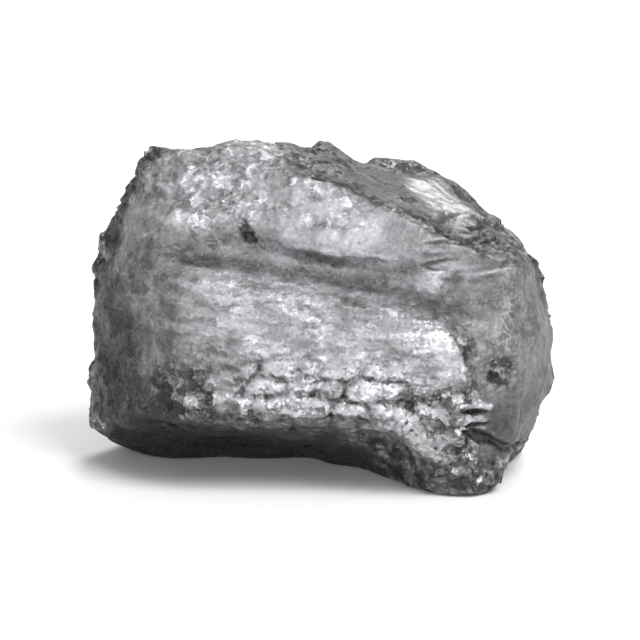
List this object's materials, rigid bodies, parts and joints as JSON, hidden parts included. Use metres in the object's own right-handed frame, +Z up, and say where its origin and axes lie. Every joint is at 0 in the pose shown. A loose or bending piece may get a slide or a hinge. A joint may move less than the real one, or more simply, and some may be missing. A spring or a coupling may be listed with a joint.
{
  "type": "lump of coal",
  "caption": "Banded lump of black coal, rounded and broken, with a proud slab across its front, a worn groove above it and an undercut base, lying on its own flat underside.",
  "frame": {"origin": "on the table, under the middle of the lump's bounding box", "axes": "+X to the right along the lump's length, +Y to its back, +Z up"},
  "size_m": [0.1, 0.077, 0.071],
  "materials": {
    "coal": "broken banded coal: black to grey, silky to glassy on its bright bands, dull in the worn groove, dusty in the hollows"
  },
  "bodies": {
    "root": {"coal_lump": "coal"}
  },
  "joints": []
}
